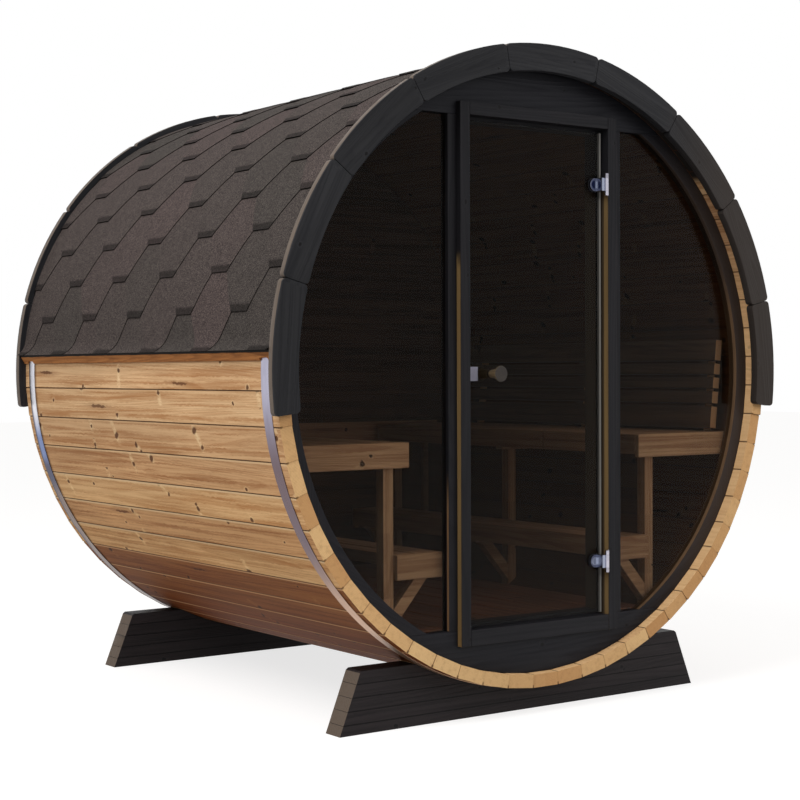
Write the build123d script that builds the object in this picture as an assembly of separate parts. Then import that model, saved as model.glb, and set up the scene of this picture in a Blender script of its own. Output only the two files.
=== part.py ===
"""Barrel sauna on two cradles, with a glazed front and a glass door.

Frame: +X to the right seen from the front, +Y to the rear, +Z up.
The origin is on the ground under the middle of the barrel. Lengths are in millimetres.
"""
from build123d import *
from math import atan2, cos, degrees, hypot, radians, sin, sqrt, tan
import os

# ---- Barrel ----------------------------------------------------------------
STAVE_COUNT = 60
STAVE_RADIUS = 1010.0       # to the outer corners of the staves
STAVE_THICKNESS = 42.0
STAVE_V = 2.5               # bevel along the outer edges of each stave
STAVE_GAP = 0.5             # between neighbouring staves
STAVE_UNEVEN = 6.0          # most that a stave end below the trims falls short
BARREL_LENGTH = 1757.0
GROUND_GAP = 83.3           # lowest stave above the ground
FIT = 0.3                   # between pieces that bear on each other

# ---- Hoops, roof and arch trims ---------------------------------------------
HOOP_WIDTH = 46.0
HOOP_THICKNESS = 1.5
HOOP_INSET = 35.0           # from the stave ends
ROOF_THICKNESS = 4.0
ROOF_GAP = 0.8              # between the hoops and the roof skin
ROOF_HALF_ANGLE = 86.4      # from the crown down to the eave
FLARE_LENGTH = 60.0         # last stretch of the roof, which stands out over the eave batten
FLARE_RISE = 32.0
EAVE_HEIGHT = 29.0          # of the batten's slanting face
EAVE_NOSE = 21.0            # thickness at its upper edge
EAVE_TOE = 1.5              # thickness at its lower edge
EAVE_NOTCH = 9.0            # height of the notches in its lower edge that clear the hoops
EAVE_BACK = 26.0            # how far it reaches up under the roof
TRIM_INNER_LAP = 60.0       # inwards from the stave radius
TRIM_OUTER_LAP = 26.8       # outwards from the stave radius
TRIM_THICKNESS = 28.0
TRIM_HALF_ANGLE = 97.0
TRIM_COUNT = 9
TRIM_JOINT = 1.2            # open joint between two trim boards
TRIM_CORNER = 14.0
TRIM_SHIFT = 0.7            # degrees that the front trim's joints sit towards +X

# ---- Front and rear walls ----------------------------------------------------
WALL_INSET = 41.0           # from the stave ends to the wall's face
WALL_THICKNESS = 36.0
RING_WIDTH = 47.0           # curved board between the window and the staves
WALL_OVER_WINDOW = 168.4    # from the window's upper edge to the staves
WALL_UNDER_WINDOW = 161.4
WINDOW_GLASS = 6.0
GLASS_INSET = 14.0          # from the wall's face to the window glass
POST_WIDTH = 34.0           # wall post between the window and the door frame

# ---- Door frame ---------------------------------------------------------------
FRAME_HALF_WIDTH = 327.5    # to the frame's outer sides
FRAME_FACE = 38.0           # width of a stile
HEAD_HEIGHT = 40.0
SILL_HEIGHT = 50.0
FRAME_PROUD = 20.0          # stands out from the wall's face
FRAME_DEPTH = 100.0
STOP_WIDTH = 15.0           # rebate that the glass closes against
STOP_CLEARANCE = 10.0

# ---- Door -----------------------------------------------------------------------
DOOR_GLASS = 8.0
DOOR_INSET = 48.0           # from the stave ends to the glass face
DOOR_GAP_HINGE = 8.0
DOOR_GAP_FREE = 8.0
DOOR_GAP_TOP = 12.0
DOOR_GAP_BOTTOM = 6.0
KNOB_FROM_EDGE = 96.0
KNOB_HEIGHT = -6.5
KNOB_RADIUS = 25.0
KNOB_NECK_RADIUS = 12.5
KNOB_THROAT_RADIUS = 17.0   # where the neck opens out to the rim
KNOB_THROAT = 4.0
KNOB_LENGTH = 50.0
KNOB_RIM = 6.0
CATCH_WIDTH = 38.0
CATCH_HEIGHT = 45.0
CATCH_THICKNESS = 5.0

# ---- Door hinges -------------------------------------------------------------------
HINGE_INSET = 172.0         # from the top and bottom of the glass
HINGE_OFFSET_X = 16.5       # pin inside the frame's inner side
HINGE_OFFSET_Y = 10.0       # pin in front of the frame's face
KNUCKLE_RADIUS = 7.0
KNUCKLE_LENGTH = 72.0
SLEEVE_LENGTH = 42.0
PIN_RADIUS = 3.0
PIN_CLEARANCE = 0.06
HINGE_PLATE = 3.0
HINGE_PLATE_WIDTH = 14.0
HINGE_ARM = 6.0             # thickness of the arms between plate and knuckles
CLAMP_LENGTH = 26.5         # from the arm to the round end
CLAMP_HEIGHT = 42.0
CLAMP_THICKNESS = 10.0
ARM_WIDTH = 13.5

# ---- Benches -------------------------------------------------------------------------
SEAT_RISE = 344.0           # above the step
STEP_RISE = 240.0           # above the floor
STEP_LEAD = 127.5           # aisle side of the seat's edge
STEP_FROM_FRAME = 28.0      # from the door frame's outer side to the step
RAIL_HEIGHT = 78.0
RAIL_THICKNESS = 19.0
BENCH_GAP_FRONT = 4.0       # from the front wall's inner face
BENCH_GAP_REAR = 50.0       # from the rear wall's inner face
SLAT_THICKNESS = 27.0
SLAT_GAP = 11.0
SEAT_SLATS = 4
POST_SETBACK = 47.0         # from the seat's edge
POST_SIZE = 38.0
STEP_SLATS = 2
FASCIA_HEIGHT = 67.0
BRACE_WIDTH = 39.0
BRACE_TOP_INSET = 70.0      # from the step's edge
BRACE_FOOT_DROP = 120.0     # from the step rail's underside to the foot's centre
BACKREST_SLATS = (77.0, 43.0, 39.0, 39.0, 73.0)     # heights, from the seat upwards
BACKREST_THICKNESS = 30.0
BACKREST_LIFT = 10.0
BACKREST_STAND_OFF = 42.0   # from the staves at seat height
BACKREST_LEAN = 5.9
BACKREST_END_GAP = 22.0     # from the bench's ends to the slats' ends
BACKREST_BATTEN_INSET = 60.0    # from the slats' ends to the outer battens
BATTEN_DEPTH = 38.0
BATTEN_WIDTH = 40.0

# ---- Cross rail at the rear wall ------------------------------------------------------
CROSS_LIFT = 10.0           # above the seats
CROSS_END_GAP = 114.0       # from the staves
CROSS_GAP = 12.0            # from the rear wall's inner face
CROSS_POST_INSET = 75.0     # from the rail's end
CROSS_POST_WIDTH = 27.0

# ---- Floor ------------------------------------------------------------------------------
FLOOR_RISE = 166.4          # above the lowest staves
FLOOR_THICKNESS = 26.0
FLOOR_BOARDS = 7
FLOOR_BOARD_GAP = 9.0
BEARER_THICKNESS = 45.0
BEARER_INSET = 60.0

# ---- Cradles --------------------------------------------------------------------------------
CRADLE_THICKNESS = 78.0
CRADLE_INSET = 87.0         # from the stave ends
CRADLE_LANDING = 205.0      # level top outside the barrel, each side
CRADLE_SPREAD = 77.0        # how far each end slopes out to the ground
CRADLE_COURSES = 5
COURSE_HEIGHT = 40.0        # of all but the lowest course
CRADLE_HEIGHT = 192.5
CRADLE_CORNER = 6.0         # cut off the upper outer corners

# ---- Worked out from the sizes above ----------------------------------------------------------
AXIS_Z = GROUND_GAP + STAVE_RADIUS
PITCH = 360.0 / STAVE_COUNT
INNER_FLAT = (STAVE_RADIUS - STAVE_THICKNESS) * cos(radians(PITCH / 2))
INNER_RADIUS = INNER_FLAT - FIT
FRONT = -BARREL_LENGTH / 2
REAR = BARREL_LENGTH / 2
FAR = 4 * STAVE_RADIUS      # longer than any piece, for cutting tools


def half_width(radius, z):
    """Half width of a circle about the barrel's axis at a height off the axis."""
    return sqrt(radius ** 2 - z ** 2)


HOOP_INNER = STAVE_RADIUS + FIT
ROOF_INNER = HOOP_INNER + HOOP_THICKNESS + ROOF_GAP
ROOF_OUTER = ROOF_INNER + ROOF_THICKNESS
TRIM_INNER = STAVE_RADIUS - TRIM_INNER_LAP
TRIM_OUTER = STAVE_RADIUS + TRIM_OUTER_LAP

WALL_FACE = FRONT + WALL_INSET
WALL_BACK = WALL_FACE + WALL_THICKNESS
REAR_WALL_BACK = REAR - WALL_INSET
REAR_WALL_FACE = REAR_WALL_BACK - WALL_THICKNESS
RING_RADIUS = INNER_RADIUS - RING_WIDTH
WINDOW_TOP = INNER_RADIUS - WALL_OVER_WINDOW
WINDOW_BOTTOM = WALL_UNDER_WINDOW - INNER_RADIUS
WINDOW_EDGE = FRAME_HALF_WIDTH + POST_WIDTH

FRAME_FRONT = WALL_FACE - FRAME_PROUD
FRAME_BACK = FRAME_FRONT + FRAME_DEPTH
HEAD_Z = WINDOW_TOP
SILL_Z = WINDOW_BOTTOM
FRAME_TOP = HEAD_Z + HEAD_HEIGHT
FRAME_BOTTOM = SILL_Z - SILL_HEIGHT
JAMB = FRAME_HALF_WIDTH - FRAME_FACE
DOOR_FRONT = FRONT + DOOR_INSET
DOOR_BACK = DOOR_FRONT + DOOR_GLASS
DOOR_TOP = HEAD_Z - DOOR_GAP_TOP
DOOR_BOTTOM = SILL_Z + DOOR_GAP_BOTTOM
STOP_FRONT = DOOR_BACK + STOP_CLEARANCE
PIN_X = JAMB - HINGE_OFFSET_X
PIN_Y = FRAME_FRONT - HINGE_OFFSET_Y

FLOOR_TOP = FLOOR_RISE - INNER_RADIUS
FLOOR_HALF_WIDTH = half_width(INNER_RADIUS, FLOOR_TOP - FLOOR_THICKNESS) - FIT
STEP_TOP = FLOOR_TOP + STEP_RISE
BENCH_TOP = STEP_TOP + SEAT_RISE
STEP_EDGE = FRAME_HALF_WIDTH + STEP_FROM_FRAME
BENCH_EDGE = STEP_EDGE + STEP_LEAD
POST_EDGE = BENCH_EDGE + POST_SETBACK
BENCH_FRONT = WALL_BACK + BENCH_GAP_FRONT
BENCH_REAR = REAR_WALL_FACE - BENCH_GAP_REAR
BACKREST_FOOT = half_width(INNER_RADIUS, BENCH_TOP) - BACKREST_STAND_OFF
CROSS_TOP = BENCH_TOP + CROSS_LIFT
CROSS_HALF_LENGTH = half_width(INNER_RADIUS, CROSS_TOP - RAIL_HEIGHT) - CROSS_END_GAP
CROSS_POST_EDGE = CROSS_HALF_LENGTH - CROSS_POST_INSET

CRADLE_HALF_TOP = half_width(STAVE_RADIUS + FIT, CRADLE_HEIGHT - AXIS_Z) + CRADLE_LANDING
CRADLE_HALF_BOTTOM = CRADLE_HALF_TOP + CRADLE_SPREAD

SIDES = (("left", -1), ("right", 1))


# ---- Building blocks ------------------------------------------------------------------------------
def block(x, y, z):
    """Box between pairs of corner values; z is measured from the barrel's axis."""
    size = [abs(b - a) for a, b in (x, y, z)]
    centre = [(a + b) / 2 for a, b in (x, y, z)]
    return Pos(centre[0], centre[1], centre[2] + AXIS_Z) * Box(*size)


def sided(side, near, far):
    """X range of a piece on one side, from distances off the middle."""
    return tuple(sorted((side * near, side * far)))


def prism(points, y):
    """Straight piece along Y from an outline of (x, z) points off the barrel's axis."""
    outline = Wire.make_polygon([Vector(px, y[0], pz + AXIS_Z) for px, pz in points], close=True)
    return extrude(Face(outline), amount=y[1] - y[0], dir=(0, 1, 0))


def drum(radius, y):
    """Solid cylinder about the barrel's axis."""
    length = y[1] - y[0]
    return Pos(0, (y[0] + y[1]) / 2, AXIS_Z) * Rot(90, 0, 0) * Cylinder(radius, length)


def tube(inner, outer, y):
    """Ring about the barrel's axis."""
    return drum(outer, y) - drum(inner, y)


def polar(radius, angle):
    """Point off the barrel's axis; the angle is from the crown, towards +X."""
    return radius * sin(radians(angle)), radius * cos(radians(angle))


def ring_point(radius, angle, y):
    """Point at a radius and an angle about the barrel's axis."""
    px, pz = polar(radius, angle)
    return Vector(px, y, pz + AXIS_Z)


def ring_arc(radius, start, end, y):
    """Edge about the barrel's axis from one angle to another."""
    ends = [ring_point(radius, angle, y) for angle in (start, (start + end) / 2, end)]
    return Edge.make_three_point_arc(*ends)


def arc_piece(inner, outer, angles, y):
    """Curved board about the barrel's axis between two angles."""
    start, end = angles
    edges = [
        ring_arc(outer, start, end, y[0]),
        Edge.make_line(ring_point(outer, end, y[0]), ring_point(inner, end, y[0])),
        ring_arc(inner, end, start, y[0]),
        Edge.make_line(ring_point(inner, start, y[0]), ring_point(outer, start, y[0])),
    ]
    return extrude(Face(Wire(edges)), amount=y[1] - y[0], dir=(0, 1, 0))


def upright(x, y, z, radius):
    """Vertical cylinder at (x, y) between two heights off the barrel's axis."""
    return Pos(x, y, (z[0] + z[1]) / 2 + AXIS_Z) * Cylinder(radius, z[1] - z[0])


def write(name, *pieces):
    """Write one node, made of one solid or of several that don't touch."""
    solids = [solid for piece in pieces for solid in piece.solids()]
    shape = solids[0] if len(solids) == 1 else Compound(children=solids)
    export_step(shape, f"parts/{name}.step")


# ---- Barrel --------------------------------------------------------------------------------------------
def stave(angle):
    half = radians(PITCH / 2)
    inner = STAVE_RADIUS - STAVE_THICKNESS
    outer_x = STAVE_RADIUS * sin(half) - STAVE_GAP / 2
    outer_z = STAVE_RADIUS * cos(half)
    inner_x = inner * sin(half) - STAVE_GAP / 2
    inner_z = inner * cos(half)
    side_x = outer_x - STAVE_V * tan(half)
    section = [
        (-outer_x + STAVE_V, outer_z), (outer_x - STAVE_V, outer_z), (side_x, outer_z - STAVE_V),
        (inner_x, inner_z), (-inner_x, inner_z), (-side_x, outer_z - STAVE_V),
    ]
    turn = radians(angle)
    turned = [(px * cos(turn) + pz * sin(turn), pz * cos(turn) - px * sin(turn)) for px, pz in section]
    return prism(turned, (FRONT + shortfall(angle, 1), REAR - shortfall(angle, 2)))


def shortfall(angle, end):
    """How far a stave stops short of a true end: nothing where a trim board is fixed to it."""
    off_crown = abs((angle + 180) % 360 - 180)
    if off_crown < TRIM_HALF_ANGLE + PITCH / 2:
        return 0.0
    return STAVE_UNEVEN * abs(sin(end * angle))


def staves():
    """Six groups of staves, each centred on one of six directions from the crown."""
    groups = ("crown", "upper_right", "lower_right", "bottom", "lower_left", "upper_left")
    share = STAVE_COUNT // len(groups)
    first = -(share // 2)
    for number, name in enumerate(groups):
        start = first + number * share
        end = start + share if number < len(groups) - 1 else first + STAVE_COUNT
        write(f"staves_{name}", *[stave(index * PITCH) for index in range(start, end)])


def hoops():
    outer = HOOP_INNER + HOOP_THICKNESS
    for name, end, inward in (("front", FRONT, 1), ("rear", REAR, -1)):
        y = sorted((end + inward * HOOP_INSET, end + inward * (HOOP_INSET + HOOP_WIDTH)))
        write(f"hoop_{name}", tube(HOOP_INNER, outer, y))


def roof():
    """Two skins that stand out at the eaves, each over a batten with a slanting face."""
    for name, side in SIDES:
        write(f"roof_{name}", roof_skin(side))
        write(f"eave_batten_{name}", eave_batten(side))


def roof_skin(side):
    ridge = side * degrees(FIT / ROOF_INNER) / 2
    eave = side * ROOF_HALF_ANGLE
    flare = side * (ROOF_HALF_ANGLE - degrees(FLARE_LENGTH / ROOF_INNER))
    outline = [ring_point(radius, angle, FRONT) for radius, angle in (
        (ROOF_OUTER, flare), (ROOF_OUTER + FLARE_RISE, eave),
        (ROOF_INNER + FLARE_RISE, eave), (ROOF_INNER, flare))]
    edges = [ring_arc(ROOF_OUTER, ridge, flare, FRONT)]
    edges += [Edge.make_line(outline[index], outline[index + 1]) for index in range(3)]
    edges.append(ring_arc(ROOF_INNER, flare, ridge, FRONT))
    edges.append(Edge.make_line(ring_point(ROOF_INNER, ridge, FRONT), ring_point(ROOF_OUTER, ridge, FRONT)))
    return extrude(Face(Wire(edges)), amount=BARREL_LENGTH, dir=(0, 1, 0))


def eave_batten(side):
    """Batten with a slanting face, notched at the two hoops."""
    nose = side * ROOF_HALF_ANGLE
    back = nose - side * degrees(EAVE_BACK / ROOF_INNER)
    toe = nose + side * degrees(EAVE_HEIGHT / ROOF_INNER)
    batten = prism([polar(radius, angle) for radius, angle in (
        (ROOF_INNER, back), (ROOF_INNER + EAVE_NOSE, nose),
        (ROOF_INNER + EAVE_TOE, toe), (ROOF_INNER, toe))], (FRONT, REAR))
    notch_top = polar(ROOF_INNER, toe)[1] + EAVE_NOTCH
    for start in (FRONT + HOOP_INSET, REAR - HOOP_INSET - HOOP_WIDTH):
        batten -= block((-FAR, FAR), (start - FIT, start + HOOP_WIDTH + FIT), (-FAR, notch_top))
    return batten


def arch_trims():
    span = 2 * TRIM_HALF_ANGLE / TRIM_COUNT
    half_joint = degrees(TRIM_JOINT / TRIM_OUTER) / 2
    for name, shift, y in (("front", TRIM_SHIFT, (FRONT - TRIM_THICKNESS, FRONT)),
                           ("rear", 0.0, (REAR, REAR + TRIM_THICKNESS))):
        joints = [shift - TRIM_HALF_ANGLE + index * span for index in range(1, TRIM_COUNT)]
        joints = [-TRIM_HALF_ANGLE] + joints + [TRIM_HALF_ANGLE]
        boards = []
        for start, end in zip(joints, joints[1:]):
            board = arc_piece(TRIM_INNER, TRIM_OUTER, (start + half_joint, end - half_joint), y)
            boards.append(fillet(board.edges().filter_by(Axis.Y), TRIM_CORNER))
        write(f"arch_trim_{name}", *boards)


# ---- End walls -----------------------------------------------------------------------------------------------
def front_wall():
    y = (WALL_FACE, WALL_BACK)
    disc = drum(INNER_RADIUS, y)
    frame_hole = block((-FRAME_HALF_WIDTH - FIT, FRAME_HALF_WIDTH + FIT), (-FAR, FAR),
                       (FRAME_BOTTOM - FIT, FRAME_TOP + FIT))
    above = block((-FAR, FAR), (-FAR, FAR), (WINDOW_TOP, FAR))
    below = block((-FAR, FAR), (-FAR, FAR), (-FAR, WINDOW_BOTTOM))
    write("front_wall_upper", (disc & above) - frame_hole)
    write("front_wall_lower", (disc & below) - frame_hole)

    ring = tube(RING_RADIUS, INNER_RADIUS, y)
    height = (WINDOW_BOTTOM + FIT, WINDOW_TOP - FIT)
    glass_y = (WALL_FACE + GLASS_INSET, WALL_FACE + GLASS_INSET + WINDOW_GLASS)
    pane = drum(RING_RADIUS - FIT, glass_y)
    for name, side in SIDES:
        outside = block(sided(side, WINDOW_EDGE, FAR), (-FAR, FAR), height)
        inside = block(sided(side, WINDOW_EDGE + FIT, FAR), (-FAR, FAR), height)
        write(f"front_wall_curve_{name}", ring & outside)
        write(f"front_wall_post_{name}",
              block(sided(side, FRAME_HALF_WIDTH + FIT, WINDOW_EDGE), y, height))
        write(f"window_glass_{name}", pane & inside)


def rear_wall():
    write("rear_wall", drum(INNER_RADIUS, (REAR_WALL_FACE, REAR_WALL_BACK)))


# ---- Door frame and door ------------------------------------------------------------------------------------------
def door_frame():
    """Two stiles of full height, with the head and the sill between them."""
    y = (FRAME_FRONT, FRAME_BACK)
    stop_y = (STOP_FRONT, FRAME_BACK)
    for name, side in SIDES:
        stile = block(sided(side, JAMB, FRAME_HALF_WIDTH), y, (FRAME_BOTTOM, FRAME_TOP))
        stop = block(sided(side, JAMB - STOP_WIDTH, JAMB), stop_y, (SILL_Z + FIT, HEAD_Z - FIT))
        write(f"door_frame_{name}", stile + stop)
    whole = (FIT - JAMB, JAMB - FIT)
    inner = (FIT + STOP_WIDTH - JAMB, JAMB - STOP_WIDTH - FIT)
    head = block(whole, y, (HEAD_Z, FRAME_TOP))
    sill = block(whole, y, (FRAME_BOTTOM, SILL_Z))
    write("door_frame_head", head + block(inner, stop_y, (HEAD_Z - STOP_WIDTH, HEAD_Z)))
    write("door_frame_sill", sill + block(inner, stop_y, (SILL_Z, SILL_Z + STOP_WIDTH)))


def door():
    edge_free = -JAMB + DOOR_GAP_FREE
    edge_hinge = JAMB - DOOR_GAP_HINGE
    write("door_glass", block((edge_free, edge_hinge), (DOOR_FRONT, DOOR_BACK), (DOOR_BOTTOM, DOOR_TOP)))

    catch_z = (KNOB_HEIGHT - CATCH_HEIGHT / 2, KNOB_HEIGHT + CATCH_HEIGHT / 2)
    catch_x = (edge_free, edge_free + CATCH_WIDTH)
    write("door_catch", block(catch_x, (DOOR_FRONT - CATCH_THICKNESS, DOOR_FRONT), catch_z),
          block(catch_x, (DOOR_BACK, DOOR_BACK + CATCH_THICKNESS), catch_z))

    knob_x = edge_free + KNOB_FROM_EDGE
    write("door_knobs", knob(knob_x, DOOR_FRONT, -1), knob(knob_x, DOOR_BACK, 1))


def knob(x, seat_y, outward):
    """Turned knob that widens from its neck on the glass to a flat round face."""
    rim = KNOB_LENGTH - KNOB_RIM
    half = [(0, 0), (KNOB_NECK_RADIUS, 0), (KNOB_THROAT_RADIUS, rim - KNOB_THROAT), (KNOB_RADIUS, rim),
            (KNOB_RADIUS, KNOB_LENGTH), (0, KNOB_LENGTH)]
    outline = Wire.make_polygon([Vector(px, 0, pz) for px, pz in half], close=True)
    body = revolve(Face(outline), Axis.Z, 360)
    return Pos(x, seat_y, AXIS_Z + KNOB_HEIGHT) * Rot(-90 * outward, 0, 0) * body


# ---- Door hinges ------------------------------------------------------------------------------------------------------
def hinges():
    knuckles = []
    clamps = []
    for level in (DOOR_TOP - HINGE_INSET, DOOR_BOTTOM + HINGE_INSET):
        knuckles.append(fixed_knuckle(level))
        clamps.extend(glass_clamp(level))
    write("hinge_knuckles", *knuckles)
    write("hinge_clamps", *clamps)


def fixed_knuckle(level):
    """Plate on the frame's inner side, with two slanting arms that hold a pin between two knuckles."""
    half = KNUCKLE_LENGTH / 2
    inner = SLEEVE_LENGTH / 2 + FIT
    root_x = JAMB - HINGE_PLATE / 2
    root_y = FRAME_FRONT + HINGE_PLATE_WIDTH / 2
    body = block((JAMB - HINGE_PLATE, JAMB), (FRAME_FRONT, FRAME_FRONT + HINGE_PLATE_WIDTH),
                 (level - half, level + half))
    body += upright(PIN_X, PIN_Y, (level - half, level + half), PIN_RADIUS)
    reach = hypot(root_x - PIN_X, root_y - PIN_Y)
    turn = degrees(atan2(root_y - PIN_Y, root_x - PIN_X))
    middle = ((PIN_X + root_x) / 2, (PIN_Y + root_y) / 2)
    for z in ((level - half, level - inner), (level + inner, level + half)):
        body += upright(PIN_X, PIN_Y, z, KNUCKLE_RADIUS)
        arm = Box(reach, HINGE_ARM, z[1] - z[0])
        body += Pos(*middle, (z[0] + z[1]) / 2 + AXIS_Z) * Rot(0, 0, turn) * arm
    return body - block((JAMB, FAR), (FRONT, REAR), (level - half, level + half))


def glass_clamp(level):
    """Sleeve, arm and outer half of a hinge, and its inner half behind the glass."""
    half = SLEEVE_LENGTH / 2
    z = (level - half, level + half)
    arm_x = (PIN_X - KNUCKLE_RADIUS - ARM_WIDTH, PIN_X - KNUCKLE_RADIUS + 1)
    outer = block(arm_x, (PIN_Y, DOOR_FRONT), z)
    outer += block((arm_x[1] - 1, PIN_X), (PIN_Y - KNUCKLE_RADIUS / 2, PIN_Y + KNUCKLE_RADIUS / 2), z)
    outer += upright(PIN_X, PIN_Y, z, KNUCKLE_RADIUS)
    outer -= upright(PIN_X, PIN_Y, z, PIN_RADIUS + PIN_CLEARANCE)
    outer += clamp_half(level, arm_x[0], (DOOR_FRONT - CLAMP_THICKNESS, DOOR_FRONT))
    inner = clamp_half(level, arm_x[0], (DOOR_BACK, DOOR_BACK + CLAMP_THICKNESS))
    return outer, inner


def clamp_half(level, x, y):
    """Plate with one round end, pressed on the glass."""
    radius = CLAMP_HEIGHT / 2
    centre_x = x - CLAMP_LENGTH + radius
    plate = block((centre_x, x + FIT), y, (level - radius, level + radius))
    end = Pos(centre_x, (y[0] + y[1]) / 2, level + AXIS_Z) * Rot(90, 0, 0) * Cylinder(radius, y[1] - y[0])
    return plate + end


# ---- Benches --------------------------------------------------------------------------------------------------------------
def trestle(side, y_rail, y_post, tunnel):
    """Seat rail, step rail, post and brace that carry one side's bench."""
    rail_bottom = BENCH_TOP - RAIL_HEIGHT
    step_bottom = STEP_TOP - RAIL_HEIGHT
    seat_rail = block(sided(side, BENCH_EDGE, INNER_RADIUS), y_rail, (rail_bottom, BENCH_TOP)) & tunnel
    step_rail = block(sided(side, STEP_EDGE, POST_EDGE), y_rail, (step_bottom, STEP_TOP))
    post = block(sided(side, POST_EDGE, POST_EDGE + POST_SIZE), y_post,
                 (-INNER_RADIUS, BENCH_TOP - SLAT_THICKNESS - FIT)) & tunnel
    bearer = block(sided(side, STEP_EDGE + RAIL_THICKNESS + FIT, POST_EDGE - FIT), y_post,
                   (step_bottom, STEP_TOP - SLAT_THICKNESS - FIT))
    foot = (POST_EDGE - FIT, step_bottom - BRACE_FOOT_DROP)
    brace = strut((STEP_EDGE + BRACE_TOP_INSET, step_bottom - FIT), foot, side, y_post)
    return [seat_rail, step_rail, post, bearer, brace]


def strut(top, foot, side, y):
    """Slanting piece between a level top end and an upright foot end."""
    lean = atan2(foot[0] - top[0], top[1] - foot[1])
    half_top = BRACE_WIDTH / 2 / cos(lean)
    half_foot = BRACE_WIDTH / 2 / sin(lean)
    outline = [(top[0] - half_top, top[1]), (top[0] + half_top, top[1]),
               (foot[0], foot[1] + half_foot), (foot[0], foot[1] - half_foot)]
    return prism([(side * px, pz) for px, pz in outline], y)


def slats(side, inner, outer, count, top, y):
    """Boards along the barrel that share a width, with equal gaps."""
    width = (outer - inner - (count - 1) * SLAT_GAP) / count
    starts = [inner + index * (width + SLAT_GAP) for index in range(count)]
    return [block(sided(side, start, start + width), y, (top - SLAT_THICKNESS, top)) for start in starts]


def benches():
    tunnel = drum(INNER_RADIUS, (FRONT, REAR))
    middle = (BENCH_FRONT + BENCH_REAR) / 2
    board_y = (BENCH_FRONT + RAIL_THICKNESS + FIT, BENCH_REAR - RAIL_THICKNESS - FIT)
    for name, side in SIDES:
        frame = []
        front_rail = (BENCH_FRONT, BENCH_FRONT + RAIL_THICKNESS)
        frame += trestle(side, front_rail, (front_rail[1] + FIT, front_rail[1] + FIT + POST_SIZE), tunnel)
        rear_rail = (BENCH_REAR - RAIL_THICKNESS, BENCH_REAR)
        frame += trestle(side, rear_rail, (rear_rail[0] - FIT - POST_SIZE, rear_rail[0] - FIT), tunnel)
        frame += middle_trestle(side, (middle - POST_SIZE / 2, middle + POST_SIZE / 2), tunnel)
        write(f"bench_frame_{name}", *frame)

        seat_inner = BENCH_EDGE + RAIL_THICKNESS + FIT
        seat_outer = half_width(INNER_RADIUS, BENCH_TOP - SLAT_THICKNESS) - FIT
        step_inner = STEP_EDGE + RAIL_THICKNESS + FIT
        boards = slats(side, seat_inner, seat_outer, SEAT_SLATS, BENCH_TOP, board_y)
        boards += slats(side, step_inner, POST_EDGE - FIT, STEP_SLATS, STEP_TOP, board_y)
        write(f"bench_boards_{name}", *boards)

        write(f"bench_fascias_{name}", *[
            block(sided(side, edge, edge + RAIL_THICKNESS), board_y, (top - FASCIA_HEIGHT, top))
            for edge, top in ((BENCH_EDGE, BENCH_TOP), (STEP_EDGE, STEP_TOP))])
        write(f"backrest_{name}", *backrest(side, board_y, tunnel))


def middle_trestle(side, y, tunnel):
    """Post, seat bearer, step bearer and brace half way along the bench."""
    seat_bottom = BENCH_TOP - RAIL_HEIGHT
    step_bottom = STEP_TOP - RAIL_HEIGHT
    seat_top = BENCH_TOP - SLAT_THICKNESS - FIT
    inner = BENCH_EDGE + RAIL_THICKNESS + FIT
    seat_bearer = block(sided(side, inner, INNER_RADIUS), y, (seat_bottom, seat_top)) & tunnel
    post = block(sided(side, POST_EDGE, POST_EDGE + POST_SIZE), y, (-INNER_RADIUS, seat_bottom - FIT)) & tunnel
    step_bearer = block(sided(side, STEP_EDGE + RAIL_THICKNESS + FIT, POST_EDGE - FIT), y,
                        (step_bottom, STEP_TOP - SLAT_THICKNESS - FIT))
    foot = (POST_EDGE - FIT, step_bottom - BRACE_FOOT_DROP)
    brace = strut((STEP_EDGE + BRACE_TOP_INSET, step_bottom - FIT), foot, side, y)
    return [seat_bearer, post, step_bearer, brace]


def backrest(side, y, tunnel):
    """Slats on three battens that lean back along the curved wall."""
    y = (y[0] + BACKREST_END_GAP, y[1] - BACKREST_END_GAP)
    lean = radians(BACKREST_LEAN)
    foot_z = BENCH_TOP + FIT
    height = BACKREST_LIFT + sum(BACKREST_SLATS) + SLAT_GAP * (len(BACKREST_SLATS) - 1)

    def at(along, depth):
        px = BACKREST_FOOT + along * sin(lean) + depth * cos(lean)
        pz = foot_z + along * cos(lean) - depth * sin(lean)
        return side * px, pz

    def board(start, end, near, far, y_range):
        return prism([at(start, near), at(end, near), at(end, far), at(start, far)], y_range)

    pieces = []
    start = BACKREST_LIFT
    for slat_height in BACKREST_SLATS:
        pieces.append(board(start, start + slat_height, -BACKREST_THICKNESS, 0, y))
        start += slat_height + SLAT_GAP
    above_seat = block((-FAR, FAR), (-FAR, FAR), (foot_z, FAR))
    inset = BACKREST_BATTEN_INSET + BATTEN_WIDTH / 2
    for centre in (y[0] + inset, (y[0] + y[1]) / 2, y[1] - inset):
        batten = board(-BATTEN_DEPTH, height, FIT, BATTEN_DEPTH,
                       (centre - BATTEN_WIDTH / 2, centre + BATTEN_WIDTH / 2))
        pieces.append(batten & tunnel & above_seat)
    return pieces


def cross_rail():
    """Rail along the rear wall on two short posts."""
    tunnel = drum(INNER_RADIUS, (FRONT, REAR))
    y = (REAR_WALL_FACE - CROSS_GAP - RAIL_THICKNESS, REAR_WALL_FACE - CROSS_GAP)
    bottom = CROSS_TOP - RAIL_HEIGHT
    rail = block((-CROSS_HALF_LENGTH, CROSS_HALF_LENGTH), y, (bottom, CROSS_TOP))
    posts = [block(sided(side, CROSS_POST_EDGE, CROSS_POST_EDGE + CROSS_POST_WIDTH), y,
                   (-INNER_RADIUS, bottom - FIT)) & tunnel for _, side in SIDES]
    write("cross_rail", rail, *posts)


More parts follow.
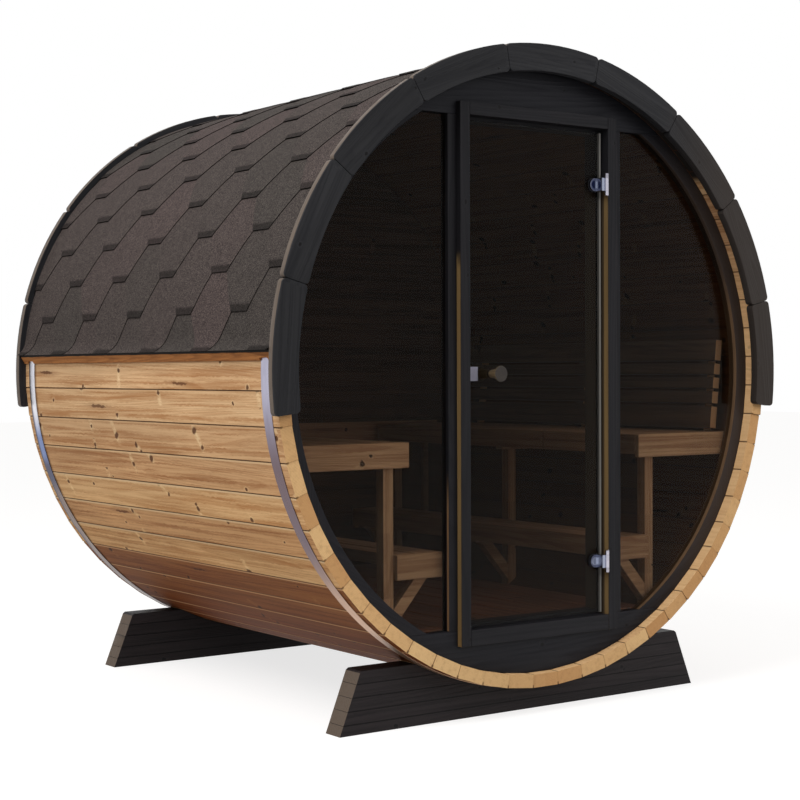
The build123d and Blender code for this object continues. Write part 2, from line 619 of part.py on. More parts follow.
# ---- Floor ---------------------------------------------------------------------------------------------------------------------
def floor():
    """Boards along the barrel, cut short at the door frame, on three bearers."""
    width = (2 * FLOOR_HALF_WIDTH - (FLOOR_BOARDS - 1) * FLOOR_BOARD_GAP) / FLOOR_BOARDS
    underside = FLOOR_TOP - FLOOR_THICKNESS
    y = (WALL_BACK + FIT, REAR_WALL_FACE - FIT)
    frame = block((-FRAME_HALF_WIDTH - FIT, FRAME_HALF_WIDTH + FIT), (-FAR, FRAME_BACK + FIT), (-FAR, FAR))
    starts = [-FLOOR_HALF_WIDTH + index * (width + FLOOR_BOARD_GAP) for index in range(FLOOR_BOARDS)]
    write("floor_boards",
          *[block((start, start + width), y, (underside, FLOOR_TOP)) - frame for start in starts])

    tunnel = drum(INNER_RADIUS, (FRONT, REAR))
    room = block((-FLOOR_HALF_WIDTH, FLOOR_HALF_WIDTH), (-FAR, FAR), (-FAR, underside - FIT))
    bearers = []
    for start in (y[0] + BEARER_INSET, (y[0] + y[1] - BEARER_THICKNESS) / 2,
                  y[1] - BEARER_INSET - BEARER_THICKNESS):
        slab = block((-FAR, FAR), (start, start + BEARER_THICKNESS), (-FAR, FAR))
        bearers.append(tunnel & slab & room)
    write("floor_bearers", *bearers)


# ---- Cradles --------------------------------------------------------------------------------------------------------------------
def cradles():
    """Two stacks of boards, sawn to the barrel's curve."""
    barrel = drum(STAVE_RADIUS + FIT, (-FAR, FAR))
    slope = CRADLE_SPREAD / CRADLE_HEIGHT
    for name, y in (("front", (FRONT + CRADLE_INSET, FRONT + CRADLE_INSET + CRADLE_THICKNESS)),
                    ("rear", (REAR - CRADLE_INSET - CRADLE_THICKNESS, REAR - CRADLE_INSET))):
        boards = []
        for course in range(CRADLE_COURSES):
            high = CRADLE_HEIGHT - (CRADLE_COURSES - 1 - course) * COURSE_HEIGHT - FIT
            low = max(0.0, high + FIT - COURSE_HEIGHT)
            wide = CRADLE_HALF_BOTTOM - slope * low
            narrow = CRADLE_HALF_BOTTOM - slope * high
            corner = CRADLE_CORNER if course == CRADLE_COURSES - 1 else 0.0
            half = [(wide, low - AXIS_Z), (narrow + slope * corner, high - corner - AXIS_Z)]
            if corner:
                half.append((narrow - corner, high - AXIS_Z))
            outline = half + [(-x, z) for x, z in reversed(half)]
            boards.append(prism(outline, y) - barrel)
        write(f"cradle_{name}", *boards)


os.makedirs("parts", exist_ok=True)
staves()
hoops()
roof()
arch_trims()
front_wall()
rear_wall()
door_frame()
door()
hinges()
benches()
cross_rail()
floor()
cradles()
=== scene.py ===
"""Barrel sauna: finishes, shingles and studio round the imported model."""

from math import cos, pi, radians, sin

import bmesh
import bpy
from mathutils import Matrix, Vector


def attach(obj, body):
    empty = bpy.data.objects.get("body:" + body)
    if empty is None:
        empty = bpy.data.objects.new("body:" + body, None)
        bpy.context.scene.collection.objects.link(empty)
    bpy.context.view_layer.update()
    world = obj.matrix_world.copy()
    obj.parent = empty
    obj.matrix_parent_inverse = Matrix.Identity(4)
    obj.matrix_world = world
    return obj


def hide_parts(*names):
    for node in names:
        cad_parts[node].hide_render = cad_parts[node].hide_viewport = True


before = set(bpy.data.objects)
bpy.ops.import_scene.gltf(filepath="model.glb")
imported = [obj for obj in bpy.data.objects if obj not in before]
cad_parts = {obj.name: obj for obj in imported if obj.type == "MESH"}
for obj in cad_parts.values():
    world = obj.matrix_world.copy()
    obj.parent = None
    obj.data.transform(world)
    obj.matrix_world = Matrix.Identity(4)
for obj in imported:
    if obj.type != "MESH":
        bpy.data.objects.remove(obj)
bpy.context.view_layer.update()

# ---- Sizes shared with the frame, in metres ----
STAVE_PITCH = radians(6.0)
STAVE_RADIUS = 1.0100        # to the staves' outer corners
AXIS_HEIGHT = 1.0933
SHADE_ANGLE = radians(129)    # of the joint below which the staves are browner, as painted shade
FRONT_END = -0.8785          # of the staves
REAR_END = 0.8785
HOOP_OUTER_SIDE = REAR_END - 0.0350     # of the rear hoop
HOOP_INNER_SIDE = REAR_END - 0.0810
TRIM_FACE = REAR_END + 0.0280
TRIM_HALF_ANGLE = radians(97)
TRIM_PITCH = radians(194 / 9)
WALL_FACE = FRONT_END + 0.0410
REAR_WALL_FACE = REAR_END - 0.0410
ROOF_HALF_ANGLE = radians(86.4)
DOOR_FRONT = FRONT_END + 0.0480
PIN_X = 0.2730               # of the door hinges
CLAMP_X = PIN_X - 0.0260     # centre of the hinge clamps' round ends
CLAMP_FACE = DOOR_FRONT - 0.0100
HINGE_LEVELS = (AXIS_HEIGHT + 0.614, AXIS_HEIGHT - 0.627)
GLASS_SIDE = 0.2735          # the door glass's edge at the hinges
POST_INNER = 0.5300          # sides of the bench posts
POST_OUTER = 0.5680
SEAT_RAIL_BOTTOM = 0.7993


def screen(red, green, blue):
    """A colour given as screen values from 0 to 255."""
    parts = []
    for value in (red, green, blue):
        share = value / 255
        parts.append(share / 12.92 if share <= 0.04045 else ((share + 0.055) / 1.055) ** 2.4)
    return (*parts, 1.0)


def dimmed(colour, factor):
    return tuple(min(255, value * factor) for value in colour)


def deselect():
    bpy.ops.object.select_all(action="DESELECT")
    bpy.context.view_layer.objects.active = None


# ---- Wiring of shader nodes ----
class Wiring:
    """Adds shader nodes to the emptied tree of a material, a world or a group.

    A value may be another node's output, a number, a vector or a colour in three screen values.
    """

    def __init__(self, tree):
        self.tree = tree
        tree.nodes.clear()

    def fill(self, socket, value):
        if isinstance(value, bpy.types.NodeSocket):
            self.tree.links.new(value, socket)
        elif socket.type == "RGBA" and len(value) == 3:
            socket.default_value = screen(*value)
        else:
            socket.default_value = value

    def join(self, node, **values):
        """Fills the node's inputs by their names."""
        for label, value in values.items():
            self.fill(node.inputs[label.replace("_", " ")], value)

    def add(self, kind, inputs=(), **settings):
        node = self.tree.nodes.new("ShaderNode" + kind)
        for name, value in settings.items():
            setattr(node, name, value)
        for key, value in dict(inputs).items():
            self.fill(node.inputs[key], value)
        return node

    def group(self, name, **values):
        node = self.add("Group", node_tree=bpy.data.node_groups[name])
        self.join(node, **values)
        return node.outputs

    def math(self, operation, *values, clamp=False):
        return self.add("Math", enumerate(values), operation=operation, use_clamp=clamp).outputs[0]

    def sum(self, first, second):
        return self.math("ADD", first, second)

    def minus(self, first, second):
        return self.math("SUBTRACT", first, second)

    def over(self, first, second):
        return self.math("DIVIDE", first, second)

    def times(self, value, *factors, clamp=False):
        for factor in factors:
            value = self.math("MULTIPLY", value, factor, clamp=clamp)
        return value

    def fused(self, value, factor, offset, clamp=False):
        """The value times a factor, plus an offset."""
        return self.math("MULTIPLY_ADD", value, factor, offset, clamp=clamp)

    def size(self, value):
        """The value without its sign."""
        return self.math("ABSOLUTE", value)

    def length(self, x, y):
        return self.math("SQRT", self.sum(self.times(x, x), self.times(y, y)))

    def mix(self, share, first, second, blend="MIX"):
        node = self.add("Mix", {0: share, 6: first, 7: second}, data_type="RGBA", blend_type=blend)
        return node.outputs[2]

    def tinted(self, colour, tint):
        return self.mix(1.0, colour, tint, "MULTIPLY")

    def shaded(self, colour, level):
        return self.tinted(colour, self.vector(level, level, level))

    def ramp(self, value, low, high, start=0.0, end=1.0, smooth=True):
        kind = "SMOOTHSTEP" if smooth else "LINEAR"
        node = self.add("MapRange", {0: value, 1: low, 2: high, 3: start, 4: end}, interpolation_type=kind,
                        clamp=True)
        return node.outputs[0]

    def vector(self, x=0.0, y=0.0, z=0.0):
        return self.add("CombineXYZ", {0: x, 1: y, 2: z}).outputs[0]

    def parts(self, vector):
        return self.add("SeparateXYZ", {0: vector}).outputs

    def scaled(self, vector, factors):
        return self.add("VectorMath", {0: vector, 1: factors}, operation="MULTIPLY").outputs[0]

    def plus(self, first, second):
        return self.add("VectorMath", {0: first, 1: second}, operation="ADD").outputs[0]

    def noise(self, vector, detail=2.0, roughness=0.5, distortion=0.0):
        inputs = {"Vector": vector, "Scale": 1.0, "Detail": detail, "Roughness": roughness,
                  "Distortion": distortion}
        return self.add("TexNoise", inputs).outputs[0]

    def mottle(self, factors, **settings):
        """Noise over the frame's space, scaled along each axis."""
        return self.noise(self.scaled(self.place(), factors), **settings)

    def random(self, value):
        return self.add("TexWhiteNoise", {"W": value}, noise_dimensions="1D").outputs[0]

    def place(self):
        return self.add("TexCoord").outputs["Object"]

    def at(self, axis):
        """The point's place along one of the frame's axes, x, y or z."""
        return self.parts(self.place())["xyz".index(axis)]

    def facing(self, axis):
        """How far the surface faces along that axis."""
        return self.parts(self.add("TexCoord").outputs["Normal"])["xyz".index(axis)]

    def faces(self, axis, low, high, start=0.0, end=1.0):
        """A ramp over how squarely the surface lies across an axis, from either side."""
        return self.ramp(self.size(self.facing(axis)), low, high, start, end)


def node_group(name, inputs, outputs):
    """An empty shader group with named sockets. Gives its wiring, its inputs and its output node."""
    tree = bpy.data.node_groups.new(name, "ShaderNodeTree")
    for direction, sockets in (("INPUT", inputs), ("OUTPUT", outputs)):
        for label, kind in sockets.items():
            tree.interface.new_socket(label, in_out=direction, socket_type="NodeSocket" + kind)
    wires = Wiring(tree)
    given = tree.nodes.new("NodeGroupInput").outputs
    result = tree.nodes.new("NodeGroupOutput")
    return wires, given, result


# ---- Shared effects ----
def make_barrel_space():
    """Where a point lies on its stave: across, along and deep, and how near the joint is."""
    wires, given, result = node_group("Barrel space", {}, {
        "Grain": "Vector", "Stave": "Float", "Joint": "Float", "Radius": "Float", "Angle": "Float",
        "Upper": "Float"})
    x, y, z = map(wires.at, "xyz")
    up = wires.minus(z, AXIS_HEIGHT)
    angle = wires.math("ARCTAN2", x, up)
    radius = wires.length(x, up)
    count = wires.over(angle, STAVE_PITCH)
    number = wires.math("ROUND", count)
    offset = wires.times(wires.minus(count, number), STAVE_PITCH)
    across = wires.times(offset, radius)
    half = wires.times(radius, STAVE_PITCH / 2)
    joint = wires.minus(half, wires.size(across))
    upper = wires.math("LESS_THAN", wires.times(across, angle), 0.0)
    shifted = wires.sum(across, wires.times(number, 0.731))
    along = wires.sum(y, wires.times(number, 2.377))
    grain = wires.vector(shifted, along, radius)
    wires.join(result, Grain=grain, Stave=wires.random(wires.sum(number, 42237.5)), Joint=joint,
               Radius=radius, Angle=angle, Upper=upper)


def make_board_space():
    """Splits a flat run of boards of one width, so that each has its own grain and tone."""
    wires, given, result = node_group(
        "Board space",
        {"Across": "Float", "Along": "Float", "Deep": "Float", "Width": "Float", "Start": "Float"},
        {"Grain": "Vector", "Board": "Float", "Joint": "Float"})
    from_start = wires.minus(given["Across"], given["Start"])
    share = wires.over(from_start, given["Width"])
    number = wires.math("FLOOR", share)
    inside = wires.minus(share, number)
    edge = wires.math("MINIMUM", inside, wires.minus(1.0, inside))
    joint = wires.times(edge, given["Width"])
    across = wires.sum(given["Across"], wires.times(number, 0.619))
    along = wires.sum(given["Along"], wires.times(number, 1.913))
    wires.join(result, Grain=wires.vector(across, along, given["Deep"]),
               Board=wires.random(wires.sum(number, 60.5)), Joint=joint)


def knot_cells(wires, grain, cell, turn, seed):
    """Cells along the grain: the place in a cell, turned by the cell's own angle, and its three draws."""
    x, y, _ = wires.parts(grain)
    spread = wires.vector(wires.over(x, cell[0]), wires.over(y, cell[1]))
    shifted = wires.plus(spread, (seed, seed * 0.37, 0.0))
    cells = wires.add("TexVoronoi", {"Vector": shifted, "Scale": 1.0}, voronoi_dimensions="2D").outputs
    away = wires.add("VectorMath", {0: shifted, 1: cells["Position"]}, operation="SUBTRACT").outputs[0]
    x, y, _ = wires.parts(wires.scaled(away, (cell[0], cell[1], 1.0)))
    draws = wires.parts(cells["Color"])
    tilt = wires.fused(draws[1], turn[1] - turn[0], turn[0])
    cosine, sine = wires.math("COSINE", tilt), wires.math("SINE", tilt)
    along = wires.sum(wires.times(x, cosine), wires.times(y, sine))
    aside = wires.minus(wires.times(y, cosine), wires.times(x, sine))
    return along, aside, draws


def knot_family(wires, grain, cell, size, turn, share, seed):
    """Knots of one shape, one to a cell, as 0 outside to 1 inside, and a wider ring around them."""
    along, aside, draws = knot_cells(wires, grain, cell, turn, seed)
    grown = wires.fused(draws[2], 0.7, 0.65)
    distance = wires.length(wires.over(along, wires.times(grown, size[0])),
                            wires.over(aside, wires.times(grown, size[1])))
    there = wires.math("LESS_THAN", draws[0], share)
    core = wires.times(wires.ramp(distance, 0.75, 1.1, 1.0, 0.0), there)
    ring = wires.times(wires.ramp(distance, 0.8, 2.6, 1.0, 0.0), there)
    return core, ring


BEAD_STEP = 0.027           # between the knots of one string


def knot_string(wires, grain, cell, turn, length, size, share, seed):
    """Short strings of knots that lie mostly across the grain, and the pale flame each string sits in."""
    along, aside, draws = knot_cells(wires, grain, cell, turn, seed)
    counted = wires.fused(draws[2], 7.0, wires.over(along, BEAD_STEP))
    beads = wires.add("TexVoronoi", {"W": counted, "Scale": 1.0}, voronoi_dimensions="1D").outputs
    gap = wires.times(wires.minus(counted, beads["W"]), BEAD_STEP)
    bead = wires.parts(beads["Color"])
    wide = wires.fused(bead[0], size, size * 0.55)
    high = wires.times(wide, wires.fused(bead[2], 0.8, 0.75))
    distance = wires.length(wires.over(gap, wide), wires.over(aside, high))
    there = wires.math("LESS_THAN", draws[0], share)
    reach = wires.ramp(wires.size(along), length * 0.55, length, 1.0, 0.0)
    seen = wires.times(wires.math("LESS_THAN", bead[1], 0.6), wires.math("GREATER_THAN", reach, 0.25))
    core = wires.times(wires.ramp(distance, 0.55, 1.15, 1.0, 0.0), seen, there)
    flame = wires.times(wires.ramp(wires.size(aside), 0.003, 0.017, 1.0, 0.0), reach, there)
    return core, flame


def make_timber():
    """Softwood along the grain's second axis: fibre, soft bands, knots, pitch streaks and pale flecks."""
    wires, given, result = node_group(
        "Timber",
        {"Grain": "Vector", "Tone": "Float", "Early": "Color", "Late": "Color", "Knot": "Color",
         "Pale": "Color", "Contrast": "Float", "Knots": "Float", "Strings": "Float", "Pitch": "Float",
         "Variation": "Float", "Rings": "Float"},
        {"Color": "Color", "Height": "Float"})
    grain = given["Grain"]
    sway = wires.noise(wires.scaled(grain, (70.0, 45.0, 0.0)))
    bent = wires.plus(grain, wires.vector(wires.fused(sway, 0.012, -0.006)))
    small, small_ring = knot_family(wires, bent, cell=(0.095, 0.33), size=(0.0050, 0.0066), turn=(-0.5, 0.5),
                                    share=given["Knots"], seed=3.1)
    strung, flame = knot_string(wires, bent, cell=(0.145, 0.30), turn=(-0.1, 0.9), length=0.055, size=0.0080,
                                share=given["Strings"], seed=9.7)
    pitch, pitch_ring = knot_family(wires, bent, cell=(0.17, 0.90), size=(0.0052, 0.0520),
                                    turn=(-0.04, 0.04), share=given["Pitch"], seed=29.9)
    core = wires.math("MAXIMUM", small, strung)
    ring = wires.math("MAXIMUM", small_ring, wires.times(flame, 0.8))
    waver = wires.noise(wires.scaled(grain, (5.0, 0.9, 5.0)))
    spaced = wires.noise(wires.scaled(grain, (9.0, 0.35, 9.0)), detail=1.0, distortion=0.1)
    phase = wires.fused(spaced, 26.0, wires.times(waver, 3.0))
    phase = wires.sum(phase, wires.times(ring, 1.2))
    phase = wires.fused(given["Tone"], 7.0, phase)
    turned = wires.math("FRACT", phase)
    rings = wires.times(wires.ramp(turned, 0.15, 0.86), wires.ramp(turned, 0.86, 1.0, 1.0, 0.0))
    fibre = wires.noise(wires.scaled(grain, (300.0, 6.0, 300.0)), detail=3.0, roughness=0.6)
    streak = wires.noise(wires.scaled(bent, (62.0, 1.3, 62.0)), detail=4.0, roughness=0.65)
    patch = wires.noise(wires.scaled(grain, (9.0, 1.5, 9.0)), detail=3.0)
    late = wires.times(rings, given["Rings"])
    late = wires.fused(wires.ramp(streak, 0.38, 0.66), 0.75, late)
    late = wires.fused(wires.minus(fibre, 0.5), 0.75, late)
    late = wires.times(late, given["Contrast"], clamp=True)
    wood = wires.mix(late, given["Early"], given["Late"])
    broken = wires.ramp(wires.noise(wires.scaled(grain, (90.0, 40.0, 90.0)), detail=3.0), 0.30, 0.62)
    pale = wires.times(flame, 0.62, broken)
    pale = wires.math("MAXIMUM", pale, wires.times(small_ring, 0.22))
    wood = wires.mix(pale, wood, given["Pale"])
    tone = wires.fused(wires.minus(given["Tone"], 0.5), given["Variation"], 1.0)
    tone = wires.times(tone, wires.fused(patch, 0.36, 0.82))
    wood = wires.shaded(wood, tone)
    vein = wires.times(wires.math("MAXIMUM", pitch, wires.times(pitch_ring, 0.25)), 0.8)
    wood = wires.mix(vein, wood, given["Knot"])
    wood = wires.mix(wires.times(core, 0.92), wood, given["Knot"])
    height = wires.fused(fibre, 0.35, wires.times(rings, 0.3))
    height = wires.minus(height, wires.times(core, 0.25))
    wires.join(result, Color=wood, Height=height)


def make_end_grain():
    """Sawn ends: growth rings about a heart outside the board, and fine pores."""
    wires, given, result = node_group(
        "End grain",
        {"Grain": "Vector", "Tone": "Float", "Early": "Color", "Late": "Color"},
        {"Color": "Color"})
    grain = given["Grain"]
    x, _, z = wires.parts(grain)
    from_heart_x = wires.minus(x, wires.fused(given["Tone"], 0.12, -0.06))
    from_heart_z = wires.sum(z, wires.fused(given["Tone"], 0.05, 0.03))
    away = wires.length(from_heart_x, from_heart_z)
    wobble = wires.noise(wires.scaled(grain, (30.0, 0.0, 30.0)))
    turned = wires.math("FRACT", wires.fused(away, 260.0, wires.times(wobble, 1.5)))
    rings = wires.ramp(turned, 0.35, 0.95)
    pores = wires.noise(wires.scaled(grain, (700.0, 0.0, 700.0)))
    late = wires.fused(pores, 0.4, wires.times(rings, 0.45), clamp=True)
    wires.join(result, Color=wires.mix(late, given["Early"], given["Late"]))


def make_soiling():
    """Darkens a colour in a joint and fades over broad patches, as weather does."""
    wires, given, result = node_group(
        "Soiling",
        {"Color": "Color", "Joint": "Float", "Joint width": "Float", "Joint colour": "Color",
         "Joint strength": "Float", "Patches": "Float"},
        {"Color": "Color"})
    broad = wires.mottle((1.7, 1.7, 2.3), detail=3.0)
    level = wires.fused(wires.minus(broad, 0.5), given["Patches"], 1.0)
    colour = wires.shaded(given["Color"], level)
    near = wires.over(given["Joint"], given["Joint width"])
    line = wires.times(wires.ramp(near, 0.25, 1.0, 1.0, 0.0), given["Joint strength"])
    wires.join(result, Color=wires.mix(line, colour, given["Joint colour"]))


make_barrel_space()
make_board_space()
make_timber()
make_end_grain()
make_soiling()


# ---- Materials ----
def new_material(name, **shader_values):
    """A material with one Principled shader. Gives its wiring and the shader."""
    material = bpy.data.materials.new(name)
    material.use_nodes = True
    wires = Wiring(material.node_tree)
    shader = wires.add("BsdfPrincipled")
    wires.add("OutputMaterial", {0: shader.outputs[0]})
    wires.join(shader, **shader_values)
    return material, wires, shader


def fading(wires, value, first, *steps):
    """The first colour, then each further one, which sets in from a low value to a high one."""
    colour = first
    for low, high, further in steps:
        colour = wires.mix(wires.ramp(value, low, high), colour, further)
    return colour


def relief(wires, height, distance, strength=1.0):
    """A surface direction from a height in metres times distance."""
    return wires.add("Bump", {"Height": height, "Distance": distance, "Strength": strength}).outputs[0]


def stave_outside(wires, space, timber):
    """The staves' outer faces: redder as they turn down, then browner and darker below as painted shade, with
    pale chamfers as painted highlight.
    """
    angle = wires.size(space["Angle"])
    low = wires.ramp(angle, SHADE_ANGLE - radians(0.2), SHADE_ANGLE + radians(0.2))
    # Painted shade: browner below the shade angle, and darker still further down.
    deeper = fading(wires, angle, (182, 146, 112), (radians(131), radians(148), (150, 106, 72)))
    shaded_below = wires.tinted(timber, deeper)
    turned_down = wires.ramp(angle, radians(95), radians(122))
    above_shade = wires.mix(turned_down, timber, wires.scaled(timber, (1.20, 1.14, 1.0)))
    # Painted highlight: a pale line along one side of each joint, where its chamfers catch the light.
    lit = wires.ramp(angle, radians(94), radians(112), 0.10, 0.85)
    chamfer_highlight = wires.times(wires.ramp(space["Joint"], 0.0092, 0.0056), space["Upper"], lit)
    pale = wires.mix(low, (240, 206, 160), (222, 172, 126))
    return wires.mix(chamfer_highlight, wires.mix(low, above_shade, shaded_below), pale)


def stave_inside(wires, space, timber, y):
    """The staves' inner faces: darker in the room as painted shade, lighter in front of the wall as painted
    light, and black there near the top.
    """
    angle = wires.size(space["Angle"])
    # Painted light on the open faces in front of the wall, stronger towards the sides.
    light = wires.ramp(angle, radians(60), radians(84), 0.0, 0.6)
    open_face = wires.mix(light, timber, (255, 208, 150))
    open_face = wires.mix(wires.ramp(angle, radians(46), radians(49)), (30, 26, 24), open_face)
    # Painted shade: the faces inside the room are darkened.
    in_room = wires.ramp(y, WALL_FACE - 0.001, WALL_FACE + 0.001)
    return wires.mix(in_room, open_face, wires.tinted(timber, (120, 98, 82)))


def stave_ends(wires, space):
    """The staves' sawn ends: light, each of its own tone, rough, with a dark painted shade at the outer
    corners of the joints.
    """
    ends = wires.group("End grain", Grain=wires.plus(space["Grain"], (0.0, 0.0, -1.0)), Tone=space["Stave"],
                       Early=(252, 220, 170), Late=(212, 162, 110))
    tone = wires.mix(space["Stave"], (255, 250, 238), (214, 190, 168))
    rough = wires.mottle((60.0, 60.0, 60.0), detail=4.0, roughness=0.6)
    toned = wires.mix(wires.ramp(rough, 0.45, 0.75, 0.0, 0.30), wires.tinted(ends["Color"], tone),
                      (170, 122, 80))
    cut = wires.group("Soiling", Color=toned, Joint=space["Joint"], Joint_width=0.0026,
                      Joint_colour=(176, 128, 80), Joint_strength=0.35, Patches=0.3)
    outer = wires.ramp(space["Radius"], STAVE_RADIUS - 0.012, STAVE_RADIUS - 0.006)
    # Painted shade where the staves' outer edges meet.
    notch_shade = wires.times(wires.ramp(space["Joint"], 0.0050, 0.0015), outer)
    return wires.mix(wires.times(notch_shade, 0.7), cut["Color"], (84, 54, 32))


def stave_material():
    """Pale pine staves, with a painted shadow line along the rear hoop."""
    material, wires, shader = new_material("pine_staves", Roughness=0.66, Specular_IOR_Level=0.12)
    space = wires.group("Barrel space")
    early = wires.mix(space["Stave"], (207, 162, 120), (224, 187, 142))
    late = wires.mix(space["Stave"], (150, 102, 66), (180, 130, 84))
    timber = wires.group("Timber", Grain=space["Grain"], Tone=space["Stave"], Early=early, Late=late,
                         Knot=(78, 40, 18), Pale=(240, 210, 164), Contrast=1.0, Knots=0.20, Strings=0.66,
                         Pitch=0.42, Variation=0.06, Rings=0.24)
    y = wires.at("y")
    outside = wires.ramp(space["Radius"], STAVE_RADIUS - 0.025, STAVE_RADIUS - 0.010)
    colour = wires.mix(outside, stave_inside(wires, space, timber["Color"], y),
                       stave_outside(wires, space, timber["Color"]))
    face = wires.group("Soiling", Color=colour, Joint=space["Joint"], Joint_width=0.0034,
                       Joint_colour=(62, 36, 20), Joint_strength=0.88, Patches=0.26)
    # Painted shadow: a dark line on the staves next to the rear hoop.
    hoop_shadow = wires.times(wires.ramp(y, HOOP_INNER_SIDE - 0.0175, HOOP_INNER_SIDE - 0.0025, smooth=False),
                         wires.ramp(y, HOOP_INNER_SIDE + 0.0025, HOOP_INNER_SIDE + 0.0015))
    face = wires.mix(wires.times(hoop_shadow, 0.6), face["Color"], (74, 48, 32))
    sawn = wires.faces("y", 0.75, 0.92)
    wires.join(shader, Base_Color=wires.mix(sawn, face, stave_ends(wires, space)),
               Normal=relief(wires, timber["Height"], 0.0009, 0.8))
    return material


def curved_boards(wires, width, start):
    """Boards that follow the barrel, each with straight grain along its own chord."""
    space = wires.group("Barrel space")
    number = wires.math("FLOOR", wires.over(wires.minus(space["Angle"], start), width))
    middle = wires.fused(wires.sum(number, 0.5), width, start)
    off = wires.minus(space["Angle"], middle)
    chord = wires.times(space["Radius"], wires.math("SINE", off))
    rise = wires.times(space["Radius"], wires.math("COSINE", off))
    grain = wires.vector(wires.fused(number, 0.619, rise), wires.fused(number, 1.913, chord), wires.at("y"))
    return {"Grain": grain, "Board": wires.random(wires.sum(number, 60.5)), "Joint": 1.0}


def flat_boards(wires, directions, width, start):
    """Boards whose width, length and depth lie along the three axes named, such as zxy."""
    across, along, deep = map(wires.at, directions)
    return wires.group("Board space", Across=across, Along=along, Deep=deep, Width=width, Start=start)


def stained_material(name, directions=None, width=10.0, start=0.0, dark=(34, 33, 36), late=(22, 22, 25),
                     wear_and_light=None, joint=0.0, ends=None):
    """Timber stained black. Its grain still shows. Ends is the colour of ends sawn across X. Wear and light
    adds weathered or bare timber and painted light and shade.
    """
    material, wires, shader = new_material(name, Roughness=0.5, Specular_IOR_Level=0.12)
    if directions:
        board = flat_boards(wires, directions, width, start)
    else:
        board = curved_boards(wires, width, start)
    timber = wires.group("Timber", Grain=board["Grain"], Tone=board["Board"], Early=dark, Late=late,
                         Knot=(14, 13, 14), Pale=dimmed(dark, 1.12), Contrast=0.8, Knots=0.75, Strings=0.0,
                         Pitch=0.0, Variation=0.30, Rings=0.30)
    colour = wires.group("Soiling", Color=timber["Color"], Joint=board["Joint"], Joint_width=0.003,
                         Joint_colour=(12, 11, 11), Joint_strength=joint, Patches=0.5)["Color"]
    if wear_and_light:
        colour = wear_and_light(wires, colour)
    if ends:
        sawn = wires.group("End grain", Grain=board["Grain"], Tone=board["Board"], Early=ends,
                           Late=dimmed(ends, 0.72))
        colour = wires.mix(wires.faces("x", 0.8, 0.93), colour, sawn["Color"])
    rough = wires.ramp(timber["Height"], 0.0, 0.8, 0.42, 0.62)
    wires.join(shader, Base_Color=colour, Roughness=rough,
               Normal=relief(wires, timber["Height"], 0.0011, 0.9))
    return material


def natural_material(name, directions, early, late, width=10.0, start=0.0, joint=0.0, stain_and_light=None, rough=0.55,
                     knots=0.45, upright=None, specular=0.3):
    """Boards in their own wood. Stain and light changes its colour, with a real stain on some boards and
    painted light and shade on others, and upright tells where the grain stands on end.
    """
    material, wires, shader = new_material(name, Roughness=rough, Specular_IOR_Level=specular)
    board = flat_boards(wires, directions, width, start)
    grain = board["Grain"]
    if upright:
        x, y, z = map(wires.at, "xyz")
        grain = wires.add("Mix", {0: upright(wires, x, z), 4: grain, 5: wires.vector(x, z, y)},
                          data_type="VECTOR").outputs[1]
    timber = wires.group("Timber", Grain=grain, Tone=board["Board"], Early=early, Late=late,
                         Knot=(52, 30, 18), Pale=dimmed(early, 1.1), Contrast=0.95, Knots=knots,
                         Strings=0.25, Pitch=0.2, Variation=0.4, Rings=0.4)
    colour = wires.group("Soiling", Color=timber["Color"], Joint=board["Joint"], Joint_width=0.003,
                         Joint_colour=(70, 45, 25), Joint_strength=joint, Patches=0.3)["Color"]
    height = timber["Height"]
    if joint:
        groove = wires.ramp(board["Joint"], 0.0005, 0.0035, -3.0, 0.0)
        height = wires.sum(height, groove)
    if stain_and_light:
        colour = stain_and_light(wires, colour)
    wires.join(shader, Base_Color=colour, Normal=relief(wires, height, 0.0009, 0.8))
    return material


def steel_material(name, colour, rough):
    """Sheet or cast metal with a fine lengthwise brush and faint smears."""
    material, wires, shader = new_material(name, Metallic=1.0, Roughness=rough)
    brush = wires.mottle((900.0, 60.0, 60.0))
    smear = wires.mottle((14.0, 14.0, 9.0), detail=4.0)
    tint = wires.mix(wires.ramp(smear, 0.3, 0.75), colour, dimmed(colour, 0.82))
    level = wires.ramp(wires.fused(brush, 0.4, smear), 0.4, 1.0, rough * 0.7, rough * 1.5)
    wires.join(shader, Base_Color=tint, Roughness=level, Normal=relief(wires, brush, 0.00008, 0.5))
    return material


def plain_material(name, colour, rough):
    """One even colour, faintly mottled."""
    material, wires, shader = new_material(name, Roughness=rough, Specular_IOR_Level=0.3)
    mottle = wires.mottle((90.0, 90.0, 90.0), detail=3.0)
    wires.join(shader, Base_Color=wires.mix(mottle, colour, dimmed(colour, 0.8)))
    return material


def clamp_material():
    """Plated like the hinge's sleeve, but the plate that holds the glass has a painted reflection of darker
    surroundings.
    """
    material, wires, shader = new_material("hinge_clamp", Metallic=1.0, Roughness=0.2)
    x = wires.at("x")
    plate = wires.ramp(x, PIN_X - 0.0068, PIN_X - 0.0078)
    # Painted reflection, lighter towards the pin.
    towards_pin = fading(wires, x, (120, 124, 142), (PIN_X - 0.030, PIN_X - 0.012, (154, 160, 178)))
    wires.join(shader, Base_Color=wires.mix(plate, (186, 184, 196), towards_pin))
    return material


def cap_material():
    """The round covers of the clamps, with painted reflections: dark blue on the left, pale grey-blue towards
    the pin, and paler on the lower hinge.
    """
    material, wires, shader = new_material("hinge_cap", Metallic=1.0, Roughness=0.24)
    across = wires.ramp(wires.at("x"), CLAMP_X - 0.003, CLAMP_X + 0.004)
    low = wires.ramp(wires.at("z"), AXIS_HEIGHT + 0.2, AXIS_HEIGHT - 0.2, 0.0, 0.45)
    share = wires.sum(wires.times(across, 0.75), low)
    wires.join(shader, Base_Color=wires.mix(share, (38, 46, 78), (240, 244, 252)))
    return material


